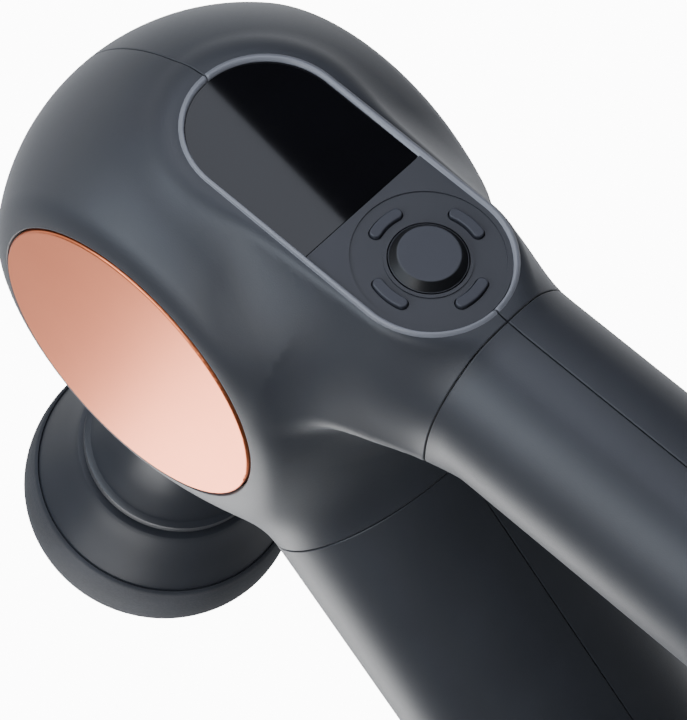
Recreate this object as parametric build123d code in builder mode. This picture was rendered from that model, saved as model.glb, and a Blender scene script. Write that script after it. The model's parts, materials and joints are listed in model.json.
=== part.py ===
from build123d import *
import math
import os

os.makedirs("parts", exist_ok=True)

# Percussive massage gun: a ball-shaped head with a flat coloured disc on each side, a
# reciprocating massage arm at the front and a closed three-arm handle below.
# Frame: +Z up, +X is the massage direction, +Y is the user's left. The device stands on
# the flat underside of its base arm at Z = 0. Millimetres.

# ---------------------------------------------------------------- driving dimensions
HEAD_X = -38.3  # head centre, so that the whole device is centred on the origin
HEAD_Z = 199.0
HEAD_R = 52.0
WALL = 2.8

DISC_R = 33.7  # side discs and the flats they sit in
DISC_FACE = 36.5
DISC_THICK = 1.7
DISC_GAP = 0.5
SHOULDER_R = 3.0

REAR_ANGLE = -99.4  # arm directions in the XZ plane, degrees from +X
FRONT_ANGLE = -60.5
REAR_R = 20.5
FRONT_A = 30.5  # front arm half width (along Y) and half depth (in the XZ plane)
FRONT_B = 27.0
FRONT_SHIFT = 1.1  # front arm axis passes this far behind the head centre
BASE_A = 27.0
BASE_B = 23.5
BASE_AXIS_Z = 20.5  # less than BASE_B, so the underside is a flat strip
REAR_SEAM = 63.6  # distance along each arm to the seam between head and handle
FRONT_SEAM = 54.0
REAR_BEND = 34.0  # corner radii of the handle's centre line
FRONT_BEND = 36.0
REAR_FLARE = 0.0145  # growth of each neck into the ball, per square of the distance up from its seam
FRONT_FLARE = 0.0085

PANEL_HEIGHT = 49.5  # panel plane, from the head centre
PANEL_R = 16.3  # half width of the round-ended panel opening
PANEL_TOP = 2.4  # centre of the upper end, along the panel from the foot of the normal
DIAL_AT = 43.7  # centre of the lower end and of the round dial
GLASS_END = 26.9  # line between the display glass and the control plate
RIM = 1.3
LEDGE_HEIGHT = 47.3
GLASS_FACE = 48.7
PLATE_FACE = 49.05
PANEL_FIT = 0.15

STROKE = 16.0
CRANK_R = STROKE / 2
SHAFT_R = 6.0

# ---------------------------------------------------------------- frames of reference
HEAD = Vector(HEAD_X, 0, HEAD_Z)
LEFT = Vector(0, 1, 0)


def direction(angle):
    return Vector(math.cos(math.radians(angle)), 0, math.sin(math.radians(angle)))


REAR_DIR = direction(REAR_ANGLE)
REAR_NORMAL = direction(REAR_ANGLE - 90)  # out of the back of the device
FRONT_DIR = direction(FRONT_ANGLE)
FRONT_NORMAL = direction(FRONT_ANGLE - 90)
REAR_OFFSET = PANEL_HEIGHT - REAR_R  # the arm's back line runs on from the panel


def rear_plane(along, offset=REAR_OFFSET):
    return Plane(HEAD + REAR_NORMAL * offset + REAR_DIR * along, LEFT, REAR_DIR)


def front_plane(along, offset=FRONT_SHIFT):
    return Plane(HEAD + FRONT_NORMAL * offset + FRONT_DIR * along, LEFT, FRONT_DIR)


def panel_plane(height):
    """Plane over the panel: local x runs down the panel, z points out of it."""
    return Plane(HEAD + REAR_NORMAL * height, REAR_DIR, REAR_NORMAL)


def motor_plane(y):
    """Plane square to the motor axis: local x is to the rear, local y is up."""
    return Plane(HEAD + LEFT * y, (-1, 0, 0), LEFT)


def stroke_plane(x):
    """Plane square to the massage arm: local x is to the left, local y is up."""
    return Plane(HEAD + Vector(x, 0, 0), LEFT, (1, 0, 0))


def finish(builder, label):
    builder.part.label = label
    export_step(builder.part, f"parts/{label}.step")


# ---------------------------------------------------------------- outer forms
def axis_crossing(origin, way):
    """Where an arm axis meets the base arm axis."""
    return origin + way * ((BASE_AXIS_Z - origin.Z) / way.Z)


REAR_CORNER = axis_crossing(rear_plane(0).origin, REAR_DIR)
FRONT_CORNER = axis_crossing(front_plane(0).origin, FRONT_DIR)


def bend_stations(corner, way_in, way_out, radius, count):
    """Points and directions along a rounded corner of the handle's centre line."""
    turn = way_in.get_signed_angle(way_out, Vector(0, -1, 0))
    setback = radius * math.tan(math.radians(abs(turn)) / 2)
    start = corner - way_in * setback
    inward = way_in.rotate(Axis.Y, -90)
    centre = start + inward * radius
    stations = []
    for step in range(count + 1):
        swing = -turn * step / count
        stations.append((centre - inward.rotate(Axis.Y, swing) * radius, way_in.rotate(Axis.Y, swing)))
    return stations


REAR_BEND_STATIONS = bend_stations(REAR_CORNER, REAR_DIR, Vector(1, 0, 0), REAR_BEND, 6)
FRONT_BEND_STATIONS = bend_stations(FRONT_CORNER, Vector(1, 0, 0), -FRONT_DIR, FRONT_BEND, 6)


def handle_form(inset):
    """Solid of the three-arm handle, shrunk by inset on every side."""
    rear_start, rear_end = rear_plane(REAR_SEAM).origin, REAR_BEND_STATIONS[0][0]
    front_end = FRONT_BEND_STATIONS[-1][0]
    front_start = front_plane(FRONT_SEAM).origin
    base_start, base_end = REAR_BEND_STATIONS[-1][0], FRONT_BEND_STATIONS[0][0]
    forward = Vector(1, 0, 0)
    rear_r = REAR_R - inset
    base = (BASE_A - inset, BASE_B - inset)
    front = (FRONT_A - inset, FRONT_B - inset)
    with BuildPart() as form:
        with BuildSketch(Plane(rear_start, LEFT, REAR_DIR)):
            Circle(rear_r)
        extrude(amount=(rear_end - rear_start).length)
        with BuildSketch(Plane(rear_end, LEFT, REAR_DIR)):
            Circle(rear_r)
        bend_axis = Axis(rear_end + REAR_DIR.rotate(Axis.Y, -90) * REAR_BEND, (0, -1, 0))
        revolve(axis=bend_axis, revolution_arc=-REAR_ANGLE)
        with BuildSketch(Plane(base_start, LEFT, forward)):
            Circle(rear_r)
        with BuildSketch(Plane(base_end, LEFT, forward)):
            Ellipse(*base)
        loft()
        last = len(FRONT_BEND_STATIONS) - 1
        for step, (point, way) in enumerate(FRONT_BEND_STATIONS):
            share = step / last
            with BuildSketch(Plane(point, LEFT, way)):
                Ellipse(*(b + (f - b) * share for b, f in zip(base, front)))
        loft()
        with BuildSketch(Plane(front_start, LEFT, FRONT_DIR)):
            Ellipse(*front)
        extrude(amount=(front_end - front_start).length)
        split(bisect_by=Plane.XY.offset(inset), keep=Keep.TOP)
    return form.part


def neck_stations(seam, depth, count=5):
    """Distances along an arm from its seam up into the ball, with the square of the rise at each."""
    for step in range(count):
        back = depth * step / (count - 1)
        yield seam - back, back**2


def panel_outline(radius):
    """Round-ended panel outline, in the panel plane's own coordinates."""
    middle = (PANEL_TOP + DIAL_AT) / 2
    with Locations((middle, 0)):
        SlotCenterToCenter(DIAL_AT - PANEL_TOP, 2 * radius)


def head_form(inset):
    """Solid of the ball head with its two necks and the raised panel border."""
    top = PANEL_HEIGHT if inset == 0 else LEDGE_HEIGHT - 1.4
    flat = DISC_FACE if inset == 0 else DISC_FACE - DISC_THICK - inset
    with BuildPart() as form:
        with Locations(HEAD):
            Sphere(HEAD_R - inset)
        for along, spread in neck_stations(REAR_SEAM, 31):
            radius = REAR_R + REAR_FLARE * spread
            with BuildSketch(rear_plane(along, PANEL_HEIGHT - radius)):
                Circle(radius - inset)
        loft()
        for along, spread in neck_stations(FRONT_SEAM, 26):
            grow = FRONT_FLARE * spread
            with BuildSketch(front_plane(along)):
                Ellipse(FRONT_A + 0.9 * grow - inset, FRONT_B + grow - inset)
        loft()
        with BuildSketch(panel_plane(PANEL_HEIGHT)):
            panel_outline(PANEL_R + RIM - inset)
        extrude(amount=-22, taper=-12)
        with Locations(HEAD):
            Box(6 * HEAD_R, 2 * flat, 6 * HEAD_R, mode=Mode.INTERSECT)
        split(bisect_by=panel_plane(top), keep=Keep.BOTTOM)
        split(bisect_by=rear_plane(REAR_SEAM), keep=Keep.BOTTOM)
        if inset == 0:
            rims = form.edges().filter_by(GeomType.CIRCLE)
            rims = rims.filter_by(lambda edge: abs(abs(edge.center().Y) - DISC_FACE) < 0.01)
            fillet(rims, SHOULDER_R)
    return form.part


HEAD_OUTER = head_form(0)
HEAD_INNER = head_form(WALL)
HANDLE_OUTER = handle_form(0)
HANDLE_INNER = handle_form(WALL)

# ---------------------------------------------------------------- shells
BOSS_R = 4.0
SCREW_R = 1.5
SCREW_HEAD_R = 2.7
HEAD_SCREW_CIRCLE = 30.5
FRAME_BACK = 11.8  # the drive frame's plate, along the motor axis
FRAME_FRONT = 14.4
NOSE_R = 20.0

# Screws that join the handle halves: two in the base arm, one in each upright arm.
HANDLE_SCREWS = [
    Vector(HEAD_X - 8, 0, BASE_AXIS_Z),
    Vector(HEAD_X + 24, 0, BASE_AXIS_Z),
    rear_plane(150).origin,
    front_plane(136.5).origin,
]
PORT_Z = BASE_AXIS_Z + FRONT_BEND  # the charge port faces forward where the corner does
PORT_FACE = 61.2
PORT_WIDTH = 8.9
PORT_HEIGHT = 3.2


def head_screw_places():
    return PolarLocations(HEAD_SCREW_CIRCLE, 4, start_angle=45)


def half_walls(outer, inner, keep):
    """The walls on one side of the parting plane, between an outer and an inner form."""
    with BuildPart() as hollow:
        add(inner)
        split(bisect_by=Plane.XZ, keep=keep)
    with BuildPart() as walls:
        add(outer)
        split(bisect_by=Plane.XZ, keep=keep)
        add(hollow.part, mode=Mode.SUBTRACT)
    return walls.part


def side_planes(centres, y):
    """Planes facing left at the given points of the parting plane, moved to y."""
    return [Plane(Vector(p.X, y, p.Z), (-1, 0, 0), LEFT) for p in centres]


HANDLE_SCREW_SEAT = -6.0
HANDLE_SCREW_DEPTH = 10.0

with BuildPart() as handle_bosses:
    with BuildSketch(*side_planes(HANDLE_SCREWS, 0)):
        Circle(BOSS_R)
    extrude(amount=FRONT_A, both=True)
    add(handle_form(WALL / 2), mode=Mode.INTERSECT)

with BuildPart() as port_cut:
    with BuildSketch(Plane((PORT_FACE - 10, 0, PORT_Z), LEFT, (1, 0, 0))):
        SlotOverall(PORT_WIDTH + 0.7, PORT_HEIGHT + 0.6)
    extrude(amount=20)

with BuildPart() as handle_shell_left:
    add(half_walls(HANDLE_OUTER, HANDLE_INNER, Keep.BOTTOM))
    add(handle_bosses.part)
    split(bisect_by=Plane.XZ, keep=Keep.BOTTOM)
    with BuildSketch(*side_planes(HANDLE_SCREWS, 0)):
        Circle(SCREW_R)
    extrude(amount=HANDLE_SCREW_DEPTH, mode=Mode.SUBTRACT)
    add(port_cut.part, mode=Mode.SUBTRACT)
finish(handle_shell_left, "handle_shell_left")

with BuildPart() as handle_shell_right:
    add(half_walls(HANDLE_OUTER, HANDLE_INNER, Keep.TOP))
    add(handle_bosses.part)
    split(bisect_by=Plane.XZ, keep=Keep.TOP)
    with BuildSketch(*side_planes(HANDLE_SCREWS, 0)):
        Circle(SCREW_R)
    extrude(amount=HANDLE_SCREW_SEAT, mode=Mode.SUBTRACT)
    with BuildSketch(*side_planes(HANDLE_SCREWS, HANDLE_SCREW_SEAT)):
        Circle(SCREW_HEAD_R + 0.2)
    extrude(amount=-BASE_A - 5, mode=Mode.SUBTRACT)
    add(port_cut.part, mode=Mode.SUBTRACT)
finish(handle_shell_right, "handle_shell_right")

with BuildPart() as head_openings:
    for face in (DISC_FACE, -DISC_FACE):
        with BuildSketch(motor_plane(face)):
            Circle(DISC_R + DISC_GAP)
        extrude(amount=-math.copysign(DISC_THICK, face))
    with BuildSketch(panel_plane(PANEL_HEIGHT + 1)):
        panel_outline(PANEL_R)
    extrude(amount=LEDGE_HEIGHT - PANEL_HEIGHT - 1)
    with BuildSketch(panel_plane(PANEL_HEIGHT)):
        panel_outline(PANEL_R - 2.2)
    extrude(amount=-10)
    with BuildSketch(stroke_plane(40)):
        Circle(NOSE_R)
    extrude(amount=2 * WALL + 10)

HEAD_SCREW_SEAT = 2.0
HEAD_SCREW_END = 24.0
DISC_SEAT_INSIDE = DISC_FACE - DISC_THICK - WALL

with BuildPart() as head_shell_left:
    add(half_walls(HEAD_OUTER, HEAD_INNER, Keep.BOTTOM))
    add(head_openings.part, mode=Mode.SUBTRACT)
    with BuildSketch(motor_plane(FRAME_FRONT)):
        with head_screw_places():
            Circle(BOSS_R)
    extrude(amount=DISC_SEAT_INSIDE - FRAME_FRONT + 0.5)
    with BuildSketch(motor_plane(FRAME_FRONT)):
        with head_screw_places():
            Circle(SCREW_R)
    extrude(amount=HEAD_SCREW_END - FRAME_FRONT, mode=Mode.SUBTRACT)
finish(head_shell_left, "head_shell_left")

with BuildPart() as head_shell_right:
    add(half_walls(HEAD_OUTER, HEAD_INNER, Keep.TOP))
    add(head_openings.part, mode=Mode.SUBTRACT)
    with BuildSketch(motor_plane(FRAME_BACK)):
        with head_screw_places():
            Circle(BOSS_R)
    extrude(amount=-DISC_SEAT_INSIDE - FRAME_BACK - 0.5)
    with BuildSketch(motor_plane(FRAME_BACK)):
        with head_screw_places():
            Circle(SCREW_R)
    extrude(amount=HEAD_SCREW_SEAT - FRAME_BACK, mode=Mode.SUBTRACT)
    with BuildSketch(motor_plane(HEAD_SCREW_SEAT)):
        with head_screw_places():
            Circle(SCREW_HEAD_R + 0.2)
    extrude(amount=-DISC_FACE - HEAD_SCREW_SEAT, mode=Mode.SUBTRACT)
finish(head_shell_right, "head_shell_right")

with BuildPart() as head_screws:
    with BuildSketch(motor_plane(HEAD_SCREW_SEAT)):
        with head_screw_places():
            Circle(SCREW_HEAD_R)
    extrude(amount=-3)
    with BuildSketch(motor_plane(HEAD_SCREW_SEAT)):
        with head_screw_places():
            Circle(SCREW_R)
    extrude(amount=HEAD_SCREW_END - HEAD_SCREW_SEAT)
    with BuildSketch(motor_plane(HEAD_SCREW_SEAT - 3)):
        with head_screw_places():
            RegularPolygon(1.2, 6)
    extrude(amount=1.6, mode=Mode.SUBTRACT)
finish(head_screws, "head_screws")

with BuildPart() as handle_screws:
    with BuildSketch(*side_planes(HANDLE_SCREWS, HANDLE_SCREW_SEAT)):
        Circle(SCREW_HEAD_R)
    extrude(amount=-3)
    with BuildSketch(*side_planes(HANDLE_SCREWS, HANDLE_SCREW_SEAT)):
        Circle(SCREW_R)
    extrude(amount=HANDLE_SCREW_DEPTH - HANDLE_SCREW_SEAT)
    with BuildSketch(*side_planes(HANDLE_SCREWS, HANDLE_SCREW_SEAT - 3)):
        RegularPolygon(1.2, 6)
    extrude(amount=1.6, mode=Mode.SUBTRACT)
finish(handle_screws, "handle_screws")

# ---------------------------------------------------------------- side discs
for side_name, face in (("left", DISC_FACE), ("right", -DISC_FACE)):
    with BuildPart() as side_disc:
        with BuildSketch(motor_plane(face)):
            Circle(DISC_R)
        extrude(amount=-math.copysign(DISC_THICK, face))
        rim = side_disc.faces().sort_by(Axis.Y)[-1 if face > 0 else 0].edges()
        fillet(rim, 0.5)
    finish(side_disc, f"side_disc_{side_name}")

# ---------------------------------------------------------------- arm sleeves
SLEEVE_WALL = 1.8
SLEEVE_FIT = 0.2

with BuildPart() as rear_arm_sleeve:
    with BuildSketch(rear_plane(REAR_SEAM - 5)):
        Circle(REAR_R - WALL - SLEEVE_FIT)
        Circle(REAR_R - WALL - SLEEVE_FIT - SLEEVE_WALL, mode=Mode.SUBTRACT)
    extrude(amount=13)
    split(bisect_by=panel_plane(LEDGE_HEIGHT - 1.5), keep=Keep.BOTTOM)
finish(rear_arm_sleeve, "rear_arm_sleeve")

with BuildPart() as front_arm_sleeve:
    with BuildSketch(front_plane(FRONT_SEAM - 7)):
        Ellipse(FRONT_A - WALL - SLEEVE_FIT, FRONT_B - WALL - SLEEVE_FIT)
        Ellipse(
            FRONT_A - WALL - SLEEVE_FIT - SLEEVE_WALL,
            FRONT_B - WALL - SLEEVE_FIT - SLEEVE_WALL,
            mode=Mode.SUBTRACT,
        )
    extrude(amount=15)
finish(front_arm_sleeve, "front_arm_sleeve")

# ---------------------------------------------------------------- display and controls
BUTTON_R = 7.7
BUTTON_HOLE_R = 8.0
BUTTON_TOP_R = 6.2
BUTTON_RISE = 1.8
KEY_CIRCLE = 11.3
KEY_WIDTH = 2.8
KEY_ARC = 30.0  # degrees of arc between the centres of a key's round ends
KEY_RISE = 0.8
KEY_FIT = 0.25
DISH_R = 15.1
DISH_DEPTH = 0.3
FLANGE_THICK = 0.9
BOARD_FACE = 42.0

KEY_PLACES = {"down": 0, "right": 90, "up": 180, "left": 270}


def dial_plane(height):
    """Plane over the control dial, local x down the panel."""
    return Plane(HEAD + REAR_NORMAL * height + REAR_DIR * DIAL_AT, REAR_DIR, REAR_NORMAL)


def key_outline(angle, width):
    """One curved key, centred at an angle round the dial."""
    with BuildLine():
        arc = CenterArc((0, 0), KEY_CIRCLE, angle - KEY_ARC / 2, KEY_ARC)
    SlotArc(arc, width)


with BuildPart() as display_lens:
    with BuildSketch(panel_plane(LEDGE_HEIGHT)):
        panel_outline(PANEL_R - PANEL_FIT)
        with Locations((GLASS_END - PANEL_FIT, 0)):
            Rectangle(2 * DIAL_AT, 4 * PANEL_R, align=(Align.MIN, Align.CENTER), mode=Mode.SUBTRACT)
    extrude(amount=GLASS_FACE - LEDGE_HEIGHT)
finish(display_lens, "display_lens")

with BuildPart() as control_plate:
    with BuildSketch(panel_plane(LEDGE_HEIGHT)):
        panel_outline(PANEL_R - PANEL_FIT)
        with Locations((GLASS_END + PANEL_FIT, 0)):
            Rectangle(2 * DIAL_AT, 4 * PANEL_R, align=(Align.MAX, Align.CENTER), mode=Mode.SUBTRACT)
    extrude(amount=PLATE_FACE - LEDGE_HEIGHT)
    with BuildSketch(dial_plane(PLATE_FACE)):
        Circle(DISH_R)
        Circle(BUTTON_HOLE_R + 0.7, mode=Mode.SUBTRACT)
    extrude(amount=-DISH_DEPTH, mode=Mode.SUBTRACT)
    with BuildSketch(dial_plane(PLATE_FACE)):
        Circle(BUTTON_HOLE_R)
        for angle in KEY_PLACES.values():
            key_outline(angle, KEY_WIDTH)
    extrude(amount=LEDGE_HEIGHT - PLATE_FACE, mode=Mode.SUBTRACT)
finish(control_plate, "control_plate")

with BuildPart() as center_button:
    with BuildSketch(dial_plane(LEDGE_HEIGHT - 0.2 - FLANGE_THICK)):
        Circle(BUTTON_R + 1.2)
    extrude(amount=FLANGE_THICK)
    with BuildSketch(dial_plane(LEDGE_HEIGHT - 0.2)):
        Circle(BUTTON_R)
    extrude(amount=PLATE_FACE - LEDGE_HEIGHT + 0.2)
    with BuildSketch(dial_plane(PLATE_FACE)):
        Circle(BUTTON_R - 0.1)
    with BuildSketch(dial_plane(PLATE_FACE + BUTTON_RISE)):
        Circle(BUTTON_TOP_R)
    loft()
    top_edge = center_button.edges().filter_by(GeomType.CIRCLE).filter_by(
        lambda edge: abs(edge.radius - BUTTON_TOP_R) < 0.01
    )
    fillet(top_edge, 0.5)
    with BuildSketch(dial_plane(LEDGE_HEIGHT - 0.2 - FLANGE_THICK)):
        Circle(2)
    extrude(amount=-1.4)
finish(center_button, "center_button")

for name, angle in KEY_PLACES.items():
    with BuildPart() as key:
        with BuildSketch(dial_plane(LEDGE_HEIGHT - 0.2 - FLANGE_THICK)):
            key_outline(angle, KEY_WIDTH + 0.8)
        extrude(amount=FLANGE_THICK)
        with BuildSketch(dial_plane(LEDGE_HEIGHT - 0.2)):
            key_outline(angle, KEY_WIDTH - 2 * KEY_FIT)
        extrude(amount=PLATE_FACE - DISH_DEPTH + KEY_RISE - LEDGE_HEIGHT + 0.2)
        crown = key.faces().sort_by(Axis((0, 0, 0), REAR_NORMAL))[-1].edges()
        fillet(crown, 0.3)
        with BuildSketch(dial_plane(LEDGE_HEIGHT - 0.2 - FLANGE_THICK)):
            with PolarLocations(KEY_CIRCLE, 1, start_angle=angle):
                Circle(0.9)
        extrude(amount=-1.8)
    finish(key, f"button_{name}")

BOARD_THICK = 1.6
FRAME_FACE = 40.2

with BuildPart() as button_board:
    with BuildSketch(dial_plane(BOARD_FACE)):
        Circle(13.6)
    extrude(amount=-BOARD_THICK)
finish(button_board, "button_board")

with BuildPart() as button_switches:
    with BuildSketch(dial_plane(BOARD_FACE)):
        Rectangle(5, 5)
        with PolarLocations(KEY_CIRCLE, 4):
            Rectangle(2.8, 3.6)
    extrude(amount=1.2)
finish(button_switches, "button_switches")

with BuildPart() as display_module:
    with BuildSketch(panel_plane(LEDGE_HEIGHT)):
        with Locations(((GLASS_END + PANEL_TOP) / 2 - 3.5, 0)):
            Rectangle(29, 22)
    extrude(amount=-1.8)
finish(display_module, "display_module")

with BuildPart() as panel_frame:
    with BuildSketch(panel_plane(FRAME_FACE)):
        panel_outline(13.8)
    extrude(amount=-1.6)
    with BuildSketch(panel_plane(FRAME_FACE)):
        with Locations(((GLASS_END + PANEL_TOP) / 2 - 3.5, 0)):
            Rectangle(27, 20)
            Rectangle(23, 16, mode=Mode.SUBTRACT)
    extrude(amount=LEDGE_HEIGHT - 1.8 - FRAME_FACE)
    with BuildSketch(dial_plane(FRAME_FACE)):
        Circle(12)
        Circle(10, mode=Mode.SUBTRACT)
    extrude(amount=BOARD_FACE - BOARD_THICK - FRAME_FACE)
finish(panel_frame, "panel_frame")

# ---------------------------------------------------------------- massage arm
COLLAR_BORE = 9.6
BUSH_BACK, BUSH_FRONT = 33.0, 47.0
COLLAR_BACK, COLLAR_FRONT = 47.2, 57.5
SHAFT_END = 88.0
YOKE_THICK = 8.0
YOKE_HALF = 10.4  # half length along the stroke
ROLLER_R = 4.5
SLOT_PLAY = 1.9  # the rounded-off crank motion needs this much play in the yoke
PIN_R = 2.8

with BuildPart() as nose_collar:
    with BuildSketch(stroke_plane(COLLAR_BACK)):
        Circle(NOSE_R - 0.15)
        Circle(COLLAR_BORE, mode=Mode.SUBTRACT)
    extrude(amount=COLLAR_FRONT - COLLAR_BACK)
    front_rim = nose_collar.edges().filter_by(GeomType.CIRCLE).sort_by(Axis.X)[-2:]
    chamfer(front_rim.sort_by(SortBy.RADIUS)[-1], 5, 3)
    inner_rim = nose_collar.edges().filter_by(GeomType.CIRCLE).sort_by(Axis.X)[-2:]
    fillet(inner_rim.sort_by(SortBy.RADIUS)[0], 0.8)
finish(nose_collar, "nose_collar")

with BuildPart() as shaft_seal:
    with BuildSketch(stroke_plane(50)):
        Circle(COLLAR_BORE)
        Circle(SHAFT_R + 0.1, mode=Mode.SUBTRACT)
    extrude(amount=5)
finish(shaft_seal, "shaft_seal")

with BuildPart() as shaft_bush:
    with BuildSketch(stroke_plane(BUSH_BACK)):
        Circle(9)
        Circle(SHAFT_R + 0.05, mode=Mode.SUBTRACT)
    extrude(amount=BUSH_FRONT - BUSH_BACK)
finish(shaft_bush, "shaft_bush")

YOKE_REST = -CRANK_R
SHAFT_NECK_R = 4.6  # slim where the shaft passes the crank disc
SHAFT_NECK_END = 21.0
DETENT_AT = SHAFT_END - 8
DETENT_THICK = 1.4
DETENT_CENTRE_R = SHAFT_R + 0.02 - DETENT_THICK / 2
PROFILE_PLANE = Plane(HEAD, (1, 0, 0), (0, -1, 0))  # local x forward, local y up
STROKE_AXIS = Axis(HEAD, (1, 0, 0))

with BuildPart() as yoke:
    with BuildSketch(motor_plane(0)):
        with Locations((-YOKE_REST, 0)):
            RectangleRounded(2 * YOKE_HALF, 38, 3)
            SlotOverall(2 * (CRANK_R + ROLLER_R + 1), 2 * (ROLLER_R + SLOT_PLAY), rotation=90,
                        mode=Mode.SUBTRACT)
    extrude(amount=YOKE_THICK / 2, both=True)
finish(yoke, "yoke")

with BuildPart() as output_shaft:
    with BuildSketch(stroke_plane(YOKE_REST + YOKE_HALF)):
        Circle(SHAFT_NECK_R)
    extrude(amount=SHAFT_NECK_END - YOKE_REST - YOKE_HALF)
    with BuildSketch(stroke_plane(SHAFT_NECK_END)):
        Circle(SHAFT_R)
    extrude(amount=SHAFT_END - SHAFT_NECK_END)
    chamfer(output_shaft.edges().sort_by(Axis.X)[-1], 0.8)
    with BuildSketch(PROFILE_PLANE):
        with Locations((DETENT_AT, DETENT_CENTRE_R)):
            Circle(DETENT_THICK / 2 + 0.05)
    revolve(axis=STROKE_AXIS, mode=Mode.SUBTRACT)
finish(output_shaft, "output_shaft")

# A rubber ring in a groove of the shaft grips the attachment's bore.
with BuildPart() as detent_ring:
    with BuildSketch(PROFILE_PLANE):
        with Locations((DETENT_AT, DETENT_CENTRE_R)):
            Circle(DETENT_THICK / 2)
    revolve(axis=STROKE_AXIS)
finish(detent_ring, "detent_ring")

# ---------------------------------------------------------------- attachment
HUB_BACK = 66.0
HUB_FRONT = 106.0
PAD_BACK = 122.0
PAD_FRONT = 150.0
PAD_R = 33.3
SEAT_R = 31.0
SEAT_END = PAD_BACK + 6
SOCKET_R = SHAFT_R + 0.05
SOCKET_END = SHAFT_END + 1.5

with BuildPart() as attachment_core:
    with BuildSketch(PROFILE_PLANE):
        with BuildLine():
            rear = Polyline((HUB_BACK, SOCKET_R), (HUB_BACK, 11), (HUB_BACK + 1, 12), (HUB_BACK + 5, 12.4))
            trumpet = Spline(rear @ 1, (HUB_BACK + 22, 14.2), (HUB_FRONT - 3, 20.5),
                             tangents=[(1, 0.05), (1, 0.75)])
            rings = Polyline(trumpet @ 1, (HUB_FRONT - 3, 22.3), (HUB_FRONT, 22.3), (HUB_FRONT, 20.8),
                             (HUB_FRONT + 1.2, 20.8), (HUB_FRONT + 1.2, 23.5))
            Polyline(rings @ 1, (PAD_BACK, SEAT_R), (SEAT_END, SEAT_R), (SEAT_END, 0), (SOCKET_END, 0),
                     (SOCKET_END, SOCKET_R), (HUB_BACK, SOCKET_R))
        make_face()
    revolve(axis=STROKE_AXIS)
finish(attachment_core, "attachment_core")

with BuildPart() as attachment_pad:
    with BuildSketch(PROFILE_PLANE):
        with BuildLine():
            back = Line((PAD_BACK, SEAT_R), (PAD_BACK + 1, SEAT_R + 0.8))
            side = Spline(back @ 1, ((PAD_BACK + PAD_FRONT) / 2 - 1, PAD_R), (PAD_FRONT - 5, PAD_R - 6.5),
                          (PAD_FRONT, 0), tangents=[(1, 0.5), (0, -1)])
            Polyline(side @ 1, (SEAT_END, 0), (SEAT_END, SEAT_R), (PAD_BACK, SEAT_R))
        make_face()
    revolve(axis=STROKE_AXIS)
finish(attachment_pad, "attachment_pad")

# ---------------------------------------------------------------- motor and crank
MOTOR_SHAFT_R = 2.5
BEARING_R = 5.5
BEARING_PLAY = 0.06
TUBE_R = 8.0
STATOR_START, STATOR_END = 16.0, 26.0
STATOR_R = 20.8
TEETH = 12
TOOTH_WIDTH = 3.2
BELL_R = 26.0
BELL_WALL = 1.8
BELL_START, BELL_END = 15.2, 31.2
MAGNETS = 14
CRANK_START, CRANK_END = 5.2, 11.0

with BuildPart() as crank_disc:
    with BuildSketch(motor_plane(CRANK_START)):
        Circle(20)
        Circle(MOTOR_SHAFT_R, mode=Mode.SUBTRACT)
        with Locations((CRANK_R, 0)):
            Circle(PIN_R, mode=Mode.SUBTRACT)
        with Locations((11, 9.5), (11, -9.5)):
            Circle(4, mode=Mode.SUBTRACT)
    extrude(amount=CRANK_END - CRANK_START)
    chamfer(crank_disc.faces().sort_by(Axis.Y)[-1].outer_wire().edges(), 0.8)
finish(crank_disc, "crank_disc")

with BuildPart() as crank_pin:
    with BuildSketch(motor_plane(CRANK_END)):
        with Locations((CRANK_R, 0)):
            Circle(PIN_R)
    extrude(amount=-CRANK_END - YOKE_THICK / 2 - 1)
finish(crank_pin, "crank_pin")

with BuildPart() as pin_roller:
    with BuildSketch(motor_plane(-YOKE_THICK / 2)):
        with Locations((CRANK_R, 0)):
            Circle(ROLLER_R)
            Circle(PIN_R, mode=Mode.SUBTRACT)
    extrude(amount=YOKE_THICK)
finish(pin_roller, "pin_roller")

with BuildPart() as motor_shaft:
    with BuildSketch(motor_plane(CRANK_START)):
        Circle(MOTOR_SHAFT_R)
    extrude(amount=BELL_END - CRANK_START)
    chamfer(motor_shaft.edges().filter_by(GeomType.CIRCLE), 0.3)
finish(motor_shaft, "motor_shaft")

with BuildPart() as motor_bearings:
    with BuildSketch(motor_plane(15), motor_plane(24)):
        Circle(BEARING_R)
        Circle(MOTOR_SHAFT_R + BEARING_PLAY, mode=Mode.SUBTRACT)
    extrude(amount=4)
finish(motor_bearings, "motor_bearings")

with BuildPart() as stator_core:
    with BuildSketch(motor_plane(STATOR_START)):
        Circle(10.5)
        with PolarLocations(0, TEETH):
            with Locations(((10 + 19) / 2, 0)):
                Rectangle(9, TOOTH_WIDTH)
            with Locations((19.2, 0)):
                Rectangle(2.4, 8.2)
        Circle(STATOR_R, mode=Mode.INTERSECT)
        Circle(TUBE_R, mode=Mode.SUBTRACT)
    extrude(amount=STATOR_END - STATOR_START)
finish(stator_core, "stator_core")

COIL_WALL = 1.2
with BuildPart() as stator_windings:
    for tooth in range(TEETH):
        outward = direction(360 * tooth / TEETH)
        middle = HEAD + LEFT * (STATOR_START + STATOR_END) / 2
        with BuildSketch(Plane(middle + outward * 12, outward.cross(LEFT), outward)):
            RectangleRounded(TOOTH_WIDTH + 2 * COIL_WALL, STATOR_END - STATOR_START + 2 * COIL_WALL, 0.9)
            Rectangle(TOOTH_WIDTH, STATOR_END - STATOR_START, mode=Mode.SUBTRACT)
        extrude(amount=5.8)
finish(stator_windings, "stator_windings")

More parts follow.
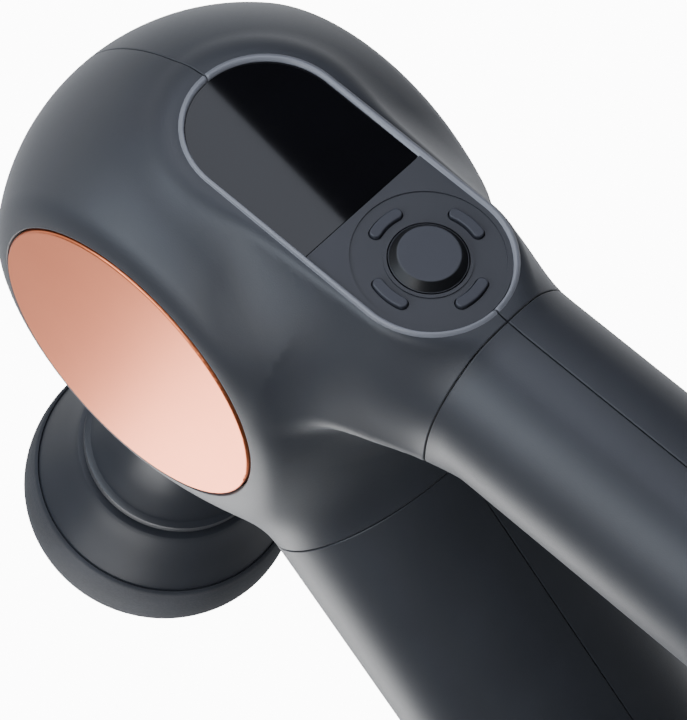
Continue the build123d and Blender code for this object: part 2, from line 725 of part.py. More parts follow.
with BuildPart() as rotor_bell:
    with BuildSketch(motor_plane(BELL_START)):
        Circle(BELL_R)
        Circle(BELL_R - BELL_WALL, mode=Mode.SUBTRACT)
    extrude(amount=BELL_END - BELL_START)
    with BuildSketch(motor_plane(BELL_END)):
        Circle(BELL_R)
        with PolarLocations(16, 6):
            SlotOverall(10, 6, rotation=90, mode=Mode.SUBTRACT)
    extrude(amount=-2)
    with BuildSketch(motor_plane(BELL_END)):
        Circle(5)
    extrude(amount=-2.8)
    with BuildSketch(motor_plane(BELL_END)):
        Circle(MOTOR_SHAFT_R)
    extrude(amount=-3, mode=Mode.SUBTRACT)
finish(rotor_bell, "rotor_bell")

with BuildPart() as rotor_magnets:
    with BuildSketch(motor_plane(STATOR_START - 0.5)):
        Circle(BELL_R - BELL_WALL)
        Circle(STATOR_R + 0.6, mode=Mode.SUBTRACT)
        with PolarLocations(BELL_R - BELL_WALL, MAGNETS):
            Rectangle(8, 0.8, mode=Mode.SUBTRACT)
    extrude(amount=STATOR_END - STATOR_START + 1)
finish(rotor_magnets, "rotor_magnets")

with BuildPart() as drive_frame:
    with BuildSketch(motor_plane(FRAME_BACK)):
        Circle(35)
        with head_screw_places():
            Circle(SCREW_R, mode=Mode.SUBTRACT)
        Circle(TUBE_R, mode=Mode.SUBTRACT)
    extrude(amount=FRAME_FRONT - FRAME_BACK)
    with BuildSketch(motor_plane(FRAME_BACK)):
        Circle(TUBE_R)
        Circle(BEARING_R, mode=Mode.SUBTRACT)
    extrude(amount=28.2 - FRAME_BACK)
    with BuildSketch(stroke_plane(BUSH_BACK)):
        with Locations((FRAME_BACK - 12, 0)):
            RectangleRounded(26, 24, 4)
    extrude(amount=BUSH_FRONT - BUSH_BACK)
    with BuildSketch(stroke_plane(BUSH_BACK)):
        Circle(9)
    extrude(amount=BUSH_FRONT - BUSH_BACK, mode=Mode.SUBTRACT)
finish(drive_frame, "drive_frame")

with BuildPart() as driver_board:
    with BuildSketch(motor_plane(-24)):
        Circle(25)
    extrude(amount=1.6)
    with BuildSketch(motor_plane(-22.4)):
        with Locations((-8, 6)):
            Rectangle(9, 9)
        with PolarLocations(17, 6):
            Rectangle(5, 5)
        with Locations((8, -5)):
            Circle(4)
    extrude(amount=2.5)
finish(driver_board, "driver_board")

with BuildPart() as board_standoffs:
    with BuildSketch(motor_plane(-DISC_SEAT_INSIDE)):
        with PolarLocations(21, 3, start_angle=90):
            Circle(2.5)
    extrude(amount=DISC_SEAT_INSIDE - 24)
finish(board_standoffs, "board_standoffs")

# ---------------------------------------------------------------- handle contents
CELL_R = 9.25
CELL_LENGTH = 65.0
CELL_PITCH = 19.0
CELLS_START = 65.0
HOLDER_THICK = 4.0
POCKET = 2.0

with BuildPart() as battery_cells:
    with BuildSketch(front_plane(CELLS_START)):
        with GridLocations(CELL_PITCH, CELL_PITCH, 2, 2):
            Circle(CELL_R)
    extrude(amount=CELL_LENGTH)
finish(battery_cells, "battery_cells")

with BuildPart() as battery_holder:
    for start in (CELLS_START - HOLDER_THICK + POCKET, CELLS_START + CELL_LENGTH - POCKET):
        with BuildSketch(front_plane(start)):
            Ellipse(FRONT_A - WALL - 0.3, FRONT_B - WALL - 0.3)
        extrude(amount=HOLDER_THICK)
    with BuildSketch(front_plane(CELLS_START - POCKET)):
        Circle(3.6)
    extrude(amount=CELL_LENGTH + 2 * POCKET)
    with BuildSketch(front_plane(CELLS_START)):
        with GridLocations(CELL_PITCH, CELL_PITCH, 2, 2):
            Circle(CELL_R)
    extrude(amount=CELL_LENGTH, mode=Mode.SUBTRACT)
finish(battery_holder, "battery_holder")

with BuildPart() as battery_board:
    with BuildSketch(front_plane(58.5)):
        Ellipse(24, 20)
    extrude(amount=1.6)
finish(battery_board, "battery_board")

with BuildPart() as control_board:
    with BuildSketch(rear_plane(76)):
        Rectangle(30, 1.6)
    extrude(amount=66)
    for along, width, deep in ((84, 12, 2.2), (102, 14, 2.6), (124, 10, 4.0)):
        with BuildSketch(rear_plane(along)):
            with Locations((0, -0.8 - deep / 2)):
                Rectangle(width, deep)
        extrude(amount=11)
finish(control_board, "control_board")

PORT_DEPTH = 7.4
PORT_BACK = PORT_FACE - PORT_DEPTH


def port_plane(x):
    return Plane((x, 0, PORT_Z), LEFT, (1, 0, 0))


with BuildPart() as charge_port:
    with BuildSketch(port_plane(PORT_BACK)):
        SlotOverall(PORT_WIDTH, PORT_HEIGHT)
        SlotOverall(PORT_WIDTH - 0.6, PORT_HEIGHT - 0.6, mode=Mode.SUBTRACT)
    extrude(amount=PORT_DEPTH)
    with BuildSketch(port_plane(PORT_BACK)):
        SlotOverall(PORT_WIDTH, PORT_HEIGHT)
    extrude(amount=1)
    with BuildSketch(port_plane(PORT_BACK + 1)):
        Rectangle(6.7, 0.7)
    extrude(amount=PORT_DEPTH - 2)
finish(charge_port, "charge_port")

with BuildPart() as charge_board:
    with BuildSketch(Plane((PORT_BACK - 5, 0, PORT_Z - PORT_HEIGHT / 2), (1, 0, 0), (0, 0, -1))):
        Rectangle(14, 18)
    extrude(amount=1.6)
finish(charge_board, "charge_board")
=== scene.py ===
"""Percussive massage gun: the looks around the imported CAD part.

Shapes are worked out in millimetres, with the head centre at the origin, and turned into metres in the
row frame when a mesh is made.
"""
import json
import math

import bmesh
import bpy
import numpy as np
from mathutils import Matrix, Vector


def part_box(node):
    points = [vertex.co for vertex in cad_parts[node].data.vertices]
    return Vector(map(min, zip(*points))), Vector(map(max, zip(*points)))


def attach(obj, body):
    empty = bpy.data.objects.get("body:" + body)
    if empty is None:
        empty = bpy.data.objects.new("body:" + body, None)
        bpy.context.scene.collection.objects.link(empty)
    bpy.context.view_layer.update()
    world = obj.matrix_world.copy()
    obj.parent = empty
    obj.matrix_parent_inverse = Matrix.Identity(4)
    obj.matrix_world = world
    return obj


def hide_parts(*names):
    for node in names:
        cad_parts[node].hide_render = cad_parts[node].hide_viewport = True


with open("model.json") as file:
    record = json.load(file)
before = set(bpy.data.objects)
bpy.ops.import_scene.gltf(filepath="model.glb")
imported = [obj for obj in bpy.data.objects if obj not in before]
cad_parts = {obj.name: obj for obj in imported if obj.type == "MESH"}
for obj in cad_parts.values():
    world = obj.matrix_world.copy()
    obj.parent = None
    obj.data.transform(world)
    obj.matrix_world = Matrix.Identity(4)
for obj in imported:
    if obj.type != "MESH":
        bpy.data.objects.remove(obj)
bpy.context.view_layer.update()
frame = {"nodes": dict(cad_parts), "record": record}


# ------------------------------------------------------------------ places, from the frame
MM = 0.001
disc_low, disc_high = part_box("side_disc_left")
HEAD = (disc_low + disc_high) / 2
HEAD.y = 0.0
DISC_R = (disc_high.x - disc_low.x) / 2 / MM
DISC_FACE = disc_high.y / MM
FLOOR_Z = -HEAD.z / MM  # the surface that the device stands on, below the head centre

# ------------------------------------------------------------------ driving dimensions, mm
HEAD_R = 52.0
WALL = 2.1
PANEL_HEIGHT = 49.5
PANEL_R = 16.3
PANEL_TOP = 2.4
DIAL_AT = 43.7
GLASS_END = 26.9
REAR_ANGLE, FRONT_ANGLE = math.radians(-99.4), math.radians(-60.5)
REAR_R = 20.0
FRONT_A, FRONT_B = 30.5, 27.0
FRONT_SHIFT = 1.1
BASE_A, BASE_B = 27.0, 23.5
BASE_AXIS = 20.5 + FLOOR_Z
REAR_SEAM, FRONT_SEAM = 63.6, 54.0
REAR_BEND, FRONT_BEND = 34.0, 36.0
NOSE_R = 20.0

REAR_DIR = np.array([math.cos(REAR_ANGLE), math.sin(REAR_ANGLE)])
REAR_OUT = np.array([math.cos(REAR_ANGLE - math.pi / 2), math.sin(REAR_ANGLE - math.pi / 2)])
FRONT_DIR = np.array([math.cos(FRONT_ANGLE), math.sin(FRONT_ANGLE)])
FRONT_BACK = np.array([math.cos(FRONT_ANGLE - math.pi / 2), math.sin(FRONT_ANGLE - math.pi / 2)])

# ------------------------------------------------------------------ the body as a distance field
BALL_BLEND = 10.0
CROTCH_BLEND = 7.0
REAR_FLARE, FRONT_FLARE = 0.0085, 0.0085  # growth of the necks, per square of the distance past the seam
REAR_RISE, FRONT_RISE = 31.0, 26.0
BORDER_BLEND = 7.0
BORDER = 1.5
BORDER_SLOPE = 0.3
BORDER_STEEPNESS = 0.96
BORDER_FOOT = 20.0  # height over the head centre where the raised border ends
FRONT_SIDE_GROWTH = 0.9  # share of the front neck's flare that goes sideways
CROTCH_LOW, CROTCH_HIGH = -120.0, -85.0  # the arms blend fully above the second height
SHOULDER = 4.0

rear_start = REAR_OUT * (PANEL_HEIGHT - REAR_R)  # so that the arm's back line runs on from the panel
front_start = FRONT_BACK * FRONT_SHIFT
rear_length = (BASE_AXIS - rear_start[1]) / REAR_DIR[1]
front_length = (BASE_AXIS - front_start[1]) / FRONT_DIR[1]
rear_setback = REAR_BEND * math.tan(-REAR_ANGLE / 2)
front_setback = FRONT_BEND * math.tan((math.pi + FRONT_ANGLE) / 2)
base_start = (rear_start + REAR_DIR * rear_length)[0] + rear_setback
base_end = (front_start + FRONT_DIR * front_length)[0] - front_setback
rear_centre = np.array([base_start, BASE_AXIS + REAR_BEND])
front_centre = np.array([base_end, BASE_AXIS + FRONT_BEND])


def smooth_min(a, b, k):
    k = np.maximum(k, 1e-6)
    h = np.maximum(k - np.abs(a - b), 0) / k
    return np.minimum(a, b) - h * h * k / 4


def smooth_max(a, b, k):
    return -smooth_min(-a, -b, k)


def ease(low, high, value):
    t = np.clip((value - low) / (high - low), 0, 1)
    return t * t * (3 - 2 * t)


def rear_line(flat, y):
    """Distance to the rear arm, which flares into the ball above its seam while its back stays straight."""
    along = flat @ REAR_DIR
    reach = np.clip(along, REAR_SEAM - REAR_RISE, rear_length - rear_setback)
    radius = REAR_R + REAR_FLARE * np.maximum(REAR_SEAM - reach, 0) ** 2
    side = flat @ REAR_OUT - (PANEL_HEIGHT - radius)
    return np.sqrt(side**2 + y**2 + (along - reach) ** 2) - radius


def front_line(flat, y):
    """Distance to the front arm, which flares into the ball above its seam."""
    along = flat @ FRONT_DIR
    reach = np.clip(along, FRONT_SEAM - FRONT_RISE, front_length - front_setback)
    grow = FRONT_FLARE * np.maximum(FRONT_SEAM - reach, 0) ** 2
    side = np.hypot(flat @ FRONT_BACK - FRONT_SHIFT, along - reach)
    return oval(y, side, FRONT_A + FRONT_SIDE_GROWTH * grow, FRONT_B + grow)


def on_bend(flat, centre, radius, first, last):
    """In-plane distance to a rounded corner of the centre line, and how far round it the point lies."""
    away = flat - centre
    angle = np.arctan2(away[:, 1], away[:, 0])
    angle = np.where(angle > math.pi / 2 + 0.2, angle - 2 * math.pi, angle)
    share = (angle - first) / (last - first)
    distance = np.abs(np.linalg.norm(away, axis=1) - radius)
    return np.where((share >= 0) & (share <= 1), distance, 1e3), np.clip(share, 0, 1)


def oval(y, distance, a, b):
    """Distance to an oval tube, from the distance to its axis in the plane of symmetry."""
    scaled = np.sqrt((y / a) ** 2 + (distance / b) ** 2) + 1e-9
    slope = np.sqrt((y / a**2) ** 2 + (distance / b**2) ** 2) + 1e-9
    return scaled * (scaled - 1) / slope


def handle_tubes(flat, y):
    """Distance to the rear arm and to the front arm, each with its corner and the base arm."""
    base = np.hypot(flat[:, 0] - np.clip(flat[:, 0], base_start, base_end), flat[:, 1] - BASE_AXIS)
    rear_bend, _ = on_bend(flat, rear_centre, REAR_BEND, REAR_ANGLE - math.pi / 2, -math.pi / 2)
    front_bend, turned = on_bend(
        flat, front_centre, FRONT_BEND, -math.pi / 2, math.pi / 2 + FRONT_ANGLE
    )
    share = ease(base_start, base_end, flat[:, 0])
    base_a = REAR_R + (BASE_A - REAR_R) * share
    base_b = REAR_R + (BASE_B - REAR_R) * share
    bend_a = BASE_A + (FRONT_A - BASE_A) * turned
    bend_b = BASE_B + (FRONT_B - BASE_B) * turned
    base_tube = oval(y, base, base_a, base_b)
    rear_tube = np.minimum(rear_line(flat, y), oval(y, rear_bend, REAR_R, REAR_R))
    front_tube = np.minimum(front_line(flat, y), oval(y, front_bend, bend_a, bend_b))
    return np.minimum(rear_tube, base_tube), np.minimum(front_tube, base_tube)


def panel_edge(points):
    """Distance outward from the round-ended panel outline, and height over the head centre."""
    flat = points[:, [0, 2]]
    along = flat @ REAR_DIR
    beyond = along - np.clip(along, PANEL_TOP, DIAL_AT)
    return np.hypot(beyond, points[:, 1]) - PANEL_R, flat @ REAR_OUT


def body(points):
    """Distance to the outside of the whole body: negative inside."""
    flat = points[:, [0, 2]]
    y = points[:, 1]
    ball = np.linalg.norm(points, axis=1) - HEAD_R
    rear, front = handle_tubes(flat, y)
    arms = smooth_min(rear, front, CROTCH_BLEND * ease(CROTCH_LOW, CROTCH_HIGH, points[:, 2]))
    shape = smooth_min(ball, arms, BALL_BLEND)
    edge, height = panel_edge(points)
    border = edge - BORDER - BORDER_SLOPE * np.maximum(PANEL_HEIGHT - height, 0)
    border = smooth_max(border * BORDER_STEEPNESS, BORDER_FOOT - height, 4)
    shape = smooth_min(shape, border, BORDER_BLEND)
    shape = smooth_max(shape, height - PANEL_HEIGHT, 2.0)
    shape = smooth_max(shape, np.abs(y) - DISC_FACE, SHOULDER)
    return smooth_max(shape, FLOOR_Z - points[:, 2], 3.0)


def slope(field, points, h=0.05):
    parts = []
    for axis in range(3):
        step = np.zeros(3)
        step[axis] = h
        parts.append((field(points + step) - field(points - step)) / (2 * h))
    return np.stack(parts, 1)


def settle(field, points, rounds=3):
    """Moves points straight onto the zero level of a field."""
    for _ in range(rounds):
        grad = slope(field, points)
        points = points - grad * (field(points) / np.maximum((grad**2).sum(1), 1e-6))[:, None]
    return points


def surface_net(field, low, high, step):
    """Quads over the zero level of a field, facing outward."""
    axes = [np.arange(a, b + step, step) for a, b in zip(low, high)]
    count = [len(a) for a in axes]
    values = np.empty(count, np.float32)
    for i, x in enumerate(axes[0]):
        yy, zz = np.meshgrid(axes[1], axes[2], indexing="ij")
        slab = np.stack([np.full(yy.size, x), yy.ravel(), zz.ravel()], 1)
        values[i] = field(slab).reshape(yy.shape)
    inside = values < 0
    total = np.zeros([c - 1 for c in count] + [3], np.float32)
    hits = np.zeros([c - 1 for c in count], np.float32)
    crossings = []
    for axis in range(3):
        first = [slice(None)] * 3
        second = [slice(None)] * 3
        first[axis], second[axis] = slice(0, -1), slice(1, None)
        a, b = values[tuple(first)], values[tuple(second)]
        cross = inside[tuple(first)] != inside[tuple(second)]
        where = np.argwhere(cross)
        others = [n for n in range(3) if n != axis]
        keep = np.all([(where[:, n] > 0) & (where[:, n] < count[n] - 1) for n in others], axis=0)
        where = where[keep]
        va, vb = a[tuple(where.T)], b[tuple(where.T)]
        spot = where.astype(np.float32)
        spot[:, axis] += va / (va - vb)
        outward = va < 0
        crossings.append((axis, where, outward))
        for du in (0, 1):
            for dv in (0, 1):
                cell = where.copy()
                cell[:, others[0]] -= du
                cell[:, others[1]] -= dv
                np.add.at(total, tuple(cell.T), spot)
                np.add.at(hits, tuple(cell.T), 1)
    used = np.argwhere(hits > 0)
    number = np.full(hits.shape, -1, np.int64)
    number[tuple(used.T)] = np.arange(len(used))
    spots = total[tuple(used.T)] / hits[tuple(used.T)][:, None]
    points = spots * step + np.array(low)
    faces = []
    for axis, where, outward in crossings:
        u, v = (axis + 1) % 3, (axis + 2) % 3
        corners = []
        for du, dv in ((1, 1), (0, 1), (0, 0), (1, 0)):
            cell = where.copy()
            cell[:, u] -= du
            cell[:, v] -= dv
            corners.append(number[tuple(cell.T)])
        quad = np.stack(corners, 1)
        quad[~outward] = quad[~outward][:, ::-1]
        faces.append(quad)
    return points, np.concatenate(faces)


def relax(field, points, faces, rounds=3):
    """Evens out a quad mesh along the surface."""
    pairs = np.concatenate([faces[:, [i, (i + 1) % 4]] for i in range(4)])
    for _ in range(rounds):
        total = np.zeros_like(points)
        hits = np.zeros(len(points))
        np.add.at(total, pairs[:, 0], points[pairs[:, 1]])
        np.add.at(total, pairs[:, 1], points[pairs[:, 0]])
        np.add.at(hits, pairs[:, 0], 1)
        np.add.at(hits, pairs[:, 1], 1)
        points = points + 0.6 * (total / np.maximum(hits, 1)[:, None] - points)
        points = settle(field, points, 2)
    return points


# ------------------------------------------------------------------ cutting pieces out of the body
class Cut:
    """Where a piece ends: gap is negative on the kept side, and the edge rolls over by a profile."""

    def __init__(self, gap, profile):
        self.gap = gap
        self.profile = profile

    def settle(self, points):
        """Points moved onto both the body and the cut."""
        for _ in range(3):
            normal = slope(body, points)
            normal /= np.linalg.norm(normal, axis=1)[:, None]
            grad = slope(self.gap, points)
            grad -= normal * (grad * normal).sum(1)[:, None]
            steep = np.maximum((grad**2).sum(1), 0.05)
            points = settle(body, points - grad * (self.gap(points) / steep)[:, None], 1)
        return points


class Skin:
    """Part of the body's outside, with the cuts that its open edges lie on."""

    def __init__(self, points, faces, cuts=None):
        self.points = points
        self.faces = faces
        self.cuts = cuts or {}

    def clip(self, cut, snap=0.35):
        """The part of this skin where the cut's gap is negative."""
        points = self.points.copy()
        cuts = dict(self.cuts)
        gap = cut.gap(points)
        near = np.flatnonzero(np.abs(gap) < snap)
        if len(near):
            points[near] = cut.settle(points[near])
        gap[near] = 0
        for v in near:
            cuts[int(v)] = cuts.get(int(v), ()) + (cut,)
        made, fresh, faces = {}, [], []
        for face in self.faces:
            values = [gap[v] for v in face]
            if max(values) <= 0:
                if min(values) < 0:
                    faces.append(face)
                continue
            if min(values) >= 0:
                continue
            ring = []
            for i, a in enumerate(face):
                b = face[(i + 1) % len(face)]
                if gap[a] <= 0:
                    ring.append(a)
                if gap[a] * gap[b] < 0:
                    key = (min(a, b), max(a, b))
                    if key not in made:
                        made[key] = len(points) + len(fresh)
                        share = gap[key[0]] / (gap[key[0]] - gap[key[1]])
                        fresh.append(points[key[0]] + (points[key[1]] - points[key[0]]) * share)
                        both = tuple(c for c in cuts.get(key[0], ()) if c in cuts.get(key[1], ()))
                        cuts[made[key]] = both + (cut,)
                    ring.append(made[key])
            if len(ring) > 2:
                faces.append(tuple(ring))
        if fresh:
            points = np.concatenate([points, cut.settle(np.array(fresh))])
        return Skin(points, faces, cuts)


def rolled(radius, depth, steps=4):
    """A rounded edge and the wall below it, as (across, out) from the open edge of a skin."""
    turns = [math.pi / 2 * (i + 1) / steps for i in range(steps)]
    return [(radius * math.sin(t), radius * (math.cos(t) - 1)) for t in turns] + [(radius, -depth)]


def unit(vectors):
    return vectors / np.maximum(np.linalg.norm(vectors, axis=1), 1e-9)[:, None]


def shell(skin):
    """A closed hollow shell from a skin: points, faces and outward normals."""
    used = sorted({v for face in skin.faces for v in face})
    number = {v: i for i, v in enumerate(used)}
    outside = [tuple(number[v] for v in face) for face in skin.faces]
    points = skin.points[used]
    normals = unit(slope(body, points))
    count = len(points)
    edges = {(face[i - 1], face[i]) for face in outside for i in range(len(face))}
    open_edges = [(a, b) for a, b in edges if (b, a) not in edges]
    border = sorted({v for edge in open_edges for v in edge})
    spot = {v: i for i, v in enumerate(border)}
    owners = [skin.cuts.get(used[v], ()) for v in border]
    spots, ups = points[border], normals[border]
    steps = len(owners[0][0].profile)
    rings = np.repeat(spots[None], steps, axis=0)
    ring_normals = np.zeros_like(rings)
    depths = np.zeros((steps, len(border)))
    for cut in {c for own in owners for c in own}:
        mine = [i for i, own in enumerate(owners) if cut in own]
        grad = slope(cut.gap, spots[mine])
        across = unit(grad - ups[mine] * (grad * ups[mine]).sum(1)[:, None])
        before = (0.0, 0.0)
        for step, (over, out) in enumerate(cut.profile):
            lean = np.array([before[1] - out, over - before[0]])
            lean /= np.linalg.norm(lean)
            before = (over, out)
            rings[step, mine] += across * over
            ring_normals[step, mine] += across * lean[0] + ups[mine] * lean[1]
            depths[step, mine] += out if step < steps - 1 else 0
            if step == steps - 1:
                depths[step, mine] = np.minimum(depths[step, mine], out)
    rings += ups * depths[:, :, None]
    ring_normals = [unit(normal) for normal in ring_normals]
    inside = points - normals * WALL
    all_points = np.concatenate([points, inside, *rings])
    all_normals = np.concatenate([normals, -normals] + ring_normals)
    faces = outside + [tuple(v + count for v in reversed(face)) for face in outside]
    # Faces of the rolled lip round the panel, which get the painted-highlight material.
    lip_highlight_faces = []
    for a, b in open_edges:
        chain = [(a, b)]
        for step in range(steps):
            start = 2 * count + step * len(border)
            chain.append((start + spot[a], start + spot[b]))
        chain.append((a + count, b + count))
        lip = panel_cut in owners[spot[a]] and panel_cut in owners[spot[b]]
        for (p, q), (r, s) in zip(chain, chain[1:]):
            if lip:
                lip_highlight_faces.append(len(faces))
            faces.append((q, p, r, s))
    return all_points, faces, all_normals, lip_highlight_faces


def flipped(made):
    points, faces, normals, lip_highlight_faces = made
    mirror = np.array([1, -1, 1])
    return points * mirror, [tuple(reversed(face)) for face in faces], normals * mirror, lip_highlight_faces


# ------------------------------------------------------------------ making pieces
def to_row(points):
    return np.asarray(points) * MM + np.array(HEAD)


def new_piece(name, points, faces, normals=None):
    mesh = bpy.data.meshes.new(name)
    mesh.from_pydata(to_row(points).tolist(), [], [tuple(int(v) for v in face) for face in faces])
    mesh.update()
    mesh.polygons.foreach_set("use_smooth", [True] * len(mesh.polygons))
    if normals is not None:
        mesh.normals_split_custom_set_from_vertices(np.asarray(normals).tolist())
    piece = bpy.data.objects.new(name, mesh)
    bpy.context.scene.collection.objects.link(piece)
    return piece


SEGMENTS = 128
SHARP_ANGLE = 0.6


def turned(name, profile):
    """A solid turned about the massage axis from an (x, radius) profile with both ends on the axis."""
    points, faces, rows = [], [], []
    for x, radius in profile:
        if radius < 1e-6:
            rows.append([len(points)])
            points.append((x, 0, 0))
            continue
        rows.append(list(range(len(points), len(points) + SEGMENTS)))
        for i in range(SEGMENTS):
            angle = 2 * math.pi * i / SEGMENTS
            points.append((x, radius * math.cos(angle), radius * math.sin(angle)))
    for low, high in zip(rows, rows[1:]):
        for i in range(SEGMENTS):
            j = (i + 1) % SEGMENTS
            if len(low) == 1:
                faces.append((low[0], high[j], high[i]))
            elif len(high) == 1:
                faces.append((low[i], low[j], high[0]))
            else:
                faces.append((low[i], low[j], high[j], high[i]))
    piece = new_piece(name, points, faces)
    tidy = bmesh.new()
    tidy.from_mesh(piece.data)
    bmesh.ops.recalc_face_normals(tidy, faces=tidy.faces)
    tidy.to_mesh(piece.data)
    tidy.free()
    piece.data.set_sharp_from_angle(angle=SHARP_ANGLE)
    return piece


def along_curve(controls, steps):
    """Points along a smooth curve through control points (Catmull-Rom)."""
    before = 2 * np.array(controls[0]) - controls[1]
    after = 2 * np.array(controls[-1]) - controls[-2]
    p = np.array([before, *controls, after])
    made = []
    for i in range(1, len(p) - 2):
        for t in np.arange(steps) / steps:
            a = 2 * p[i]
            b = p[i + 1] - p[i - 1]
            c = 2 * p[i - 1] - 5 * p[i] + 4 * p[i + 1] - p[i + 2]
            d = 3 * p[i] - p[i - 1] - 3 * p[i + 1] + p[i + 2]
            made.append(tuple((a + b * t + c * t * t + d * t**3) / 2))
    made.append(tuple(controls[-1]))
    return made


# ------------------------------------------------------------------ camera
EYE = Vector((-594.2, 269.9, -125.6)) * MM + HEAD
RIGHT = Vector((-0.1866, -0.6722, -0.7165))
UP = Vector((-0.3891, -0.6190, 0.6822))
AHEAD = Vector((0.9021, -0.4061, 0.1461))
FOCAL_LENGTH, SENSOR_WIDTH = 161.05, 36

lens = bpy.data.cameras.new("camera")
lens.lens = FOCAL_LENGTH
lens.sensor_width = SENSOR_WIDTH
lens.clip_start = 0.05
lens.dof.use_dof = False
camera = bpy.data.objects.new("camera", lens)
turn = Matrix((RIGHT, UP, -AHEAD)).transposed().to_4x4()
camera.matrix_world = Matrix.Translation(EYE) @ turn
bpy.context.scene.collection.objects.link(camera)
bpy.context.scene.camera = camera

# ------------------------------------------------------------------ shell pieces
SEAM_ROLL = 0.25
SEAM_GAP = 0.12
HOLE_ROLL = 0.35
RECESS_DEPTH = 18.0
LIP_WIDTH = 1.2
DISC_CLEARANCE = 0.5
ELSEWHERE = -5  # a gap's value away from its own side of the body
NET_STEP = 1.5
CROTCH = np.array([-9.0, -52.0])
CROTCH_LEAN = 0.185

seam_profile = rolled(SEAM_ROLL, WALL - 0.4)
hole_profile = rolled(HOLE_ROLL, WALL - 0.4)
recess_profile = rolled(HOLE_ROLL, RECESS_DEPTH)
lip_profile = [(0.1, 0.2), (0.45, 0.42), (0.85, 0.34), (1.1, 0.0), (LIP_WIDTH, -WALL + 0.4)]


def parting_gap(points):
    return SEAM_GAP + SEAM_ROLL - points[:, 1]


def seam_distance(points):
    """Distance past the arm seams, down the arm that the point belongs to."""
    flat = points[:, [0, 2]]
    rear_side = flat[:, 0] - CROTCH[0] + CROTCH_LEAN * (flat[:, 1] - CROTCH[1]) < 0
    return np.where(rear_side, flat @ REAR_DIR - REAR_SEAM, flat @ FRONT_DIR - FRONT_SEAM)


def head_gap(points):
    return seam_distance(points) + SEAM_GAP + SEAM_ROLL


def handle_gap(points):
    return SEAM_GAP + SEAM_ROLL - seam_distance(points)


def disc_gap(points):
    reach = np.hypot(points[:, 0], points[:, 2])
    return np.where(points[:, 1] > 25, DISC_R + DISC_CLEARANCE + HOLE_ROLL - reach, ELSEWHERE)


def panel_gap(points):
    edge, height = panel_edge(points)
    return np.where(height > 35, LIP_WIDTH - edge, ELSEWHERE)


def nose_gap(points):
    reach = np.hypot(points[:, 1], points[:, 2])
    return np.where(points[:, 0] > 38, NOSE_R + HOLE_ROLL - reach, ELSEWHERE)


PORT_Z = BASE_AXIS + FRONT_BEND
PORT_HALF_WIDTH, PORT_HALF_HEIGHT = 4.8, 1.9


def port_gap(points):
    beyond = np.maximum(np.abs(points[:, 1]) - (PORT_HALF_WIDTH - PORT_HALF_HEIGHT), 0)
    reach = np.hypot(beyond, points[:, 2] - PORT_Z)
    return np.where(points[:, 0] > 70, PORT_HALF_HEIGHT + HOLE_ROLL - reach, ELSEWHERE)


SCREW_RECESS_R = 2.9
REAR_SCREW_AT, FRONT_SCREW_AT = 150, 136.5  # along each arm
screws = [
    np.array([-8.0, BASE_AXIS]),
    np.array([24.0, BASE_AXIS]),
    rear_start + REAR_DIR * REAR_SCREW_AT,
    front_start + FRONT_DIR * FRONT_SCREW_AT,
]


def screw_gap(points):
    flat = points[:, [0, 2]]
    reach = np.min([np.linalg.norm(flat - place, axis=1) for place in screws], axis=0)
    return np.where(points[:, 1] > 12, SCREW_RECESS_R + HOLE_ROLL - reach, ELSEWHERE)


low = (-96.0, -3.0, FLOOR_Z - 3)
high = (106.0, 39.0, 56.0)
net_points, net_faces = surface_net(body, low, high, NET_STEP)
net_points = relax(body, settle(body, net_points), net_faces)
whole = Skin(net_points, [tuple(face) for face in net_faces.tolist()])
half = whole.clip(Cut(parting_gap, seam_profile))
head_skin = half.clip(Cut(head_gap, seam_profile)).clip(Cut(disc_gap, hole_profile))
panel_cut = Cut(panel_gap, lip_profile)
head_skin = head_skin.clip(panel_cut).clip(Cut(nose_gap, hole_profile))
handle_skin = half.clip(Cut(handle_gap, seam_profile)).clip(Cut(port_gap, hole_profile))
screwed_skin = handle_skin.clip(Cut(screw_gap, recess_profile))

head_made = shell(head_skin)
covers = {
    "head_shell_left": head_made,
    "head_shell_right": flipped(head_made),
    "handle_shell_left": shell(handle_skin),
    "handle_shell_right": flipped(shell(screwed_skin)),
}

# ------------------------------------------------------------------ materials
def rgb(red, green, blue):
    return (red, green, blue, 1.0)


